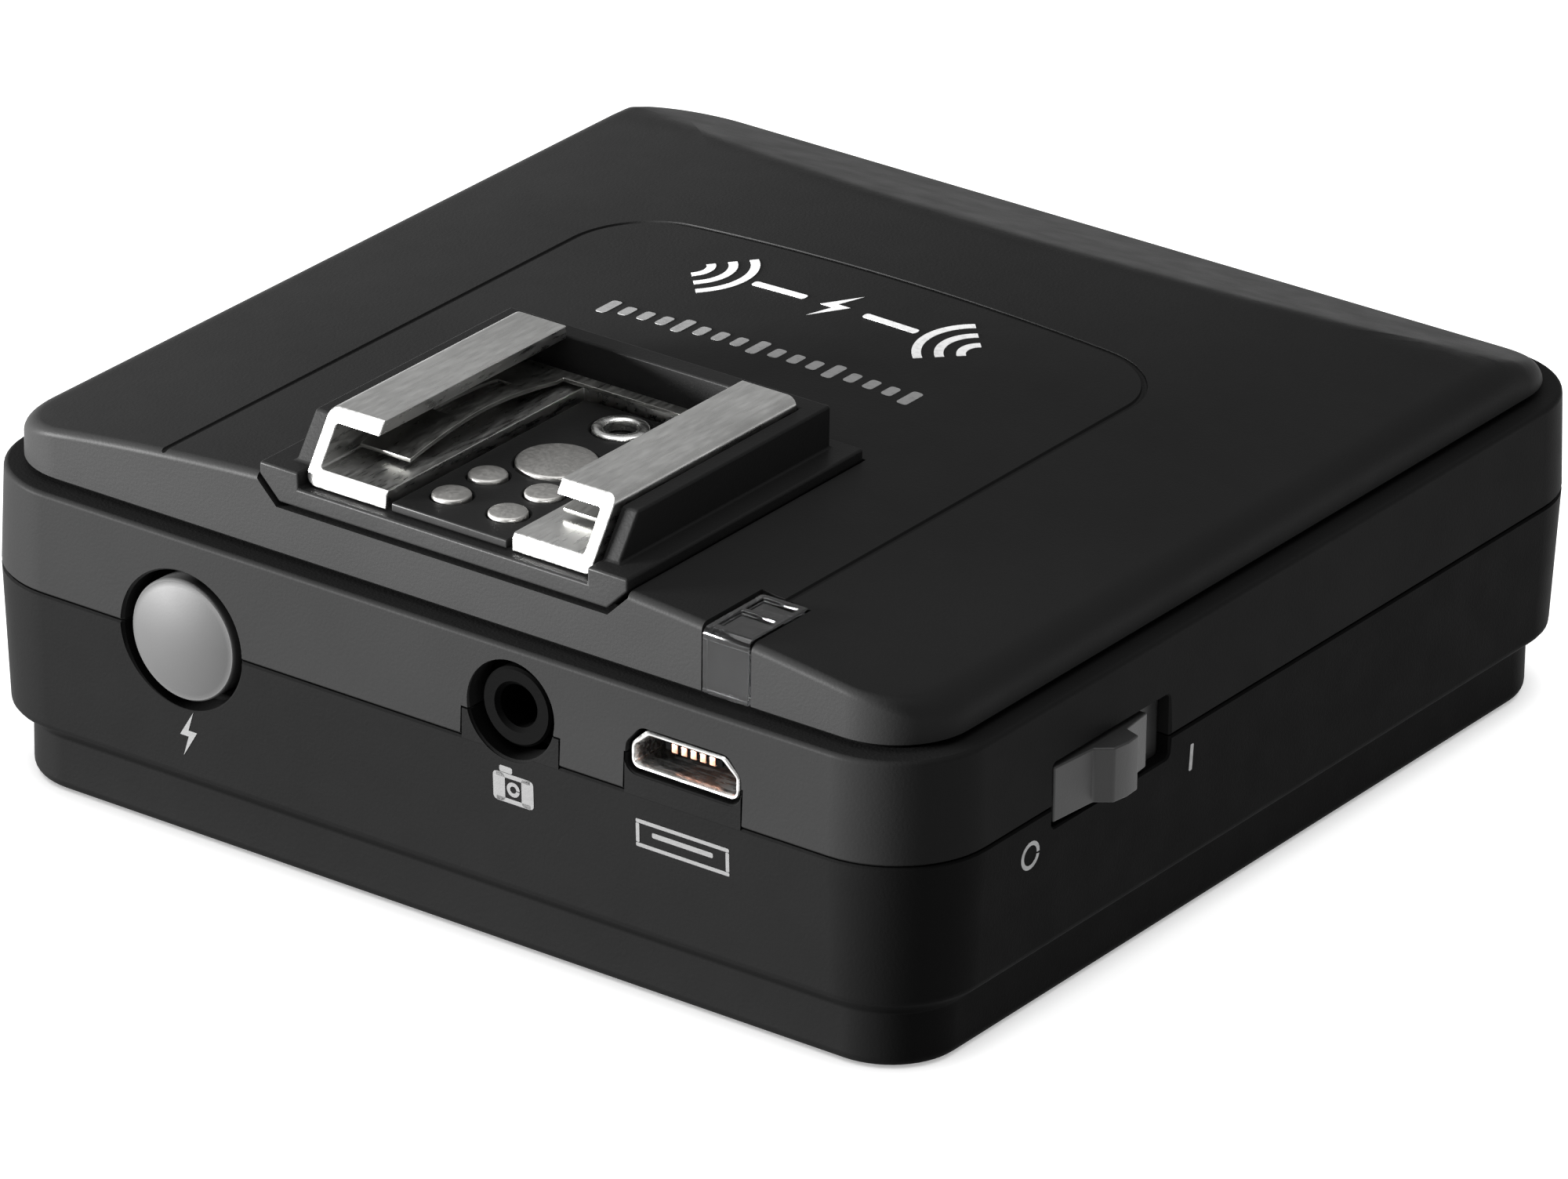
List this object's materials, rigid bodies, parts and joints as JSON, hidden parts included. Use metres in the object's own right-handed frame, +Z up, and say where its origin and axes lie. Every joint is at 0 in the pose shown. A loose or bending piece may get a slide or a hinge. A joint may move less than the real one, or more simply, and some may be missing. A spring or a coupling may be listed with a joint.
{
  "type": "wireless flash trigger",
  "caption": "Square battery case with a hot shoe on its crowned top, a test button, cable sockets and a slide switch: receives a radio signal and fires a flash.",
  "frame": {"origin": "middle of the flat underside, at the surface that the case rests on", "axes": "+X to the right along the front face, where the button and the sockets are; +Y to the back, where the cells are; +Z up through the hot shoe"},
  "size_m": [0.0697, 0.0698, 0.0286],
  "materials": {
    "case_black": "fine-grained matte black plastic",
    "shoe_black": "matte black plastic",
    "insulator_black": "black insulating plastic",
    "shoe_steel": "satin stainless sheet with bright cut edges",
    "contact_metal": "nickel plate",
    "socket_steel": "bright pressed sheet",
    "socket_copper": "copper contacts",
    "button_grey": "satin mid-grey plastic",
    "switch_grey": "satin dark grey plastic",
    "clear_plastic": "clear moulded plastic",
    "board_green": "solder-masked glass epoxy",
    "ribbon_amber": "amber polyimide film",
    "cell_wrap": "plain printed sleeve",
    "screw_steel": "blackened steel",
    "brass": "turned brass"
  },
  "bodies": {
    "housing": {"top_cover": "case_black", "upper_shell": "case_black", "lower_shell": "case_black", "shoe_base": "shoe_black", "contact_block": "insulator_black", "jack_socket": "insulator_black", "test_switch": "insulator_black", "processor": "insulator_black", "shoe_rails": "shoe_steel", "shoe_spring": "shoe_steel", "centre_contact": "contact_metal", "data_contact_1": "contact_metal", "data_contact_2": "contact_metal", "data_contact_3": "contact_metal", "data_contact_4": "contact_metal", "lock_ring": "contact_metal", "positive_contact": "contact_metal", "negative_contact": "contact_metal", "bridge_contact": "contact_metal", "negative_spring": "contact_metal", "bridge_spring": "contact_metal", "usb_shell": "socket_steel", "radio_shield": "socket_steel", "slide_switch": "socket_steel", "usb_tongue": "socket_copper", "antenna": "socket_copper", "light_pipe": "clear_plastic", "status_led": "clear_plastic", "main_board": "board_green", "radio_module": "board_green", "shoe_ribbon": "ribbon_amber", "cell_front": "cell_wrap", "cell_rear": "cell_wrap", "case_screw_1": "screw_steel", "case_screw_2": "screw_steel", "case_screw_3": "screw_steel", "case_screw_4": "screw_steel", "tripod_insert": "brass"},
    "test_button": {"button_cap": "button_grey", "button_plunger": "insulator_black"},
    "power_switch": {"switch_knob": "switch_grey", "switch_lever": "insulator_black"},
    "battery_door": {"battery_door": "case_black"}
  },
  "joints": [
    {"name": "test_button_press", "type": "slide", "parent": "housing", "child": "test_button", "axis": [0, 1, 0], "range_m": [0, 0.0007], "stiffness_N_per_m": 300},
    {"name": "power_switch_slide", "type": "slide", "parent": "housing", "child": "power_switch", "axis": [0, 1, 0], "range_m": [0, 0.0021]},
    {"name": "battery_door_slide", "type": "slide", "parent": "housing", "child": "battery_door", "axis": [0, 1, 0], "range_m": [0, 0.031]}
  ]
}
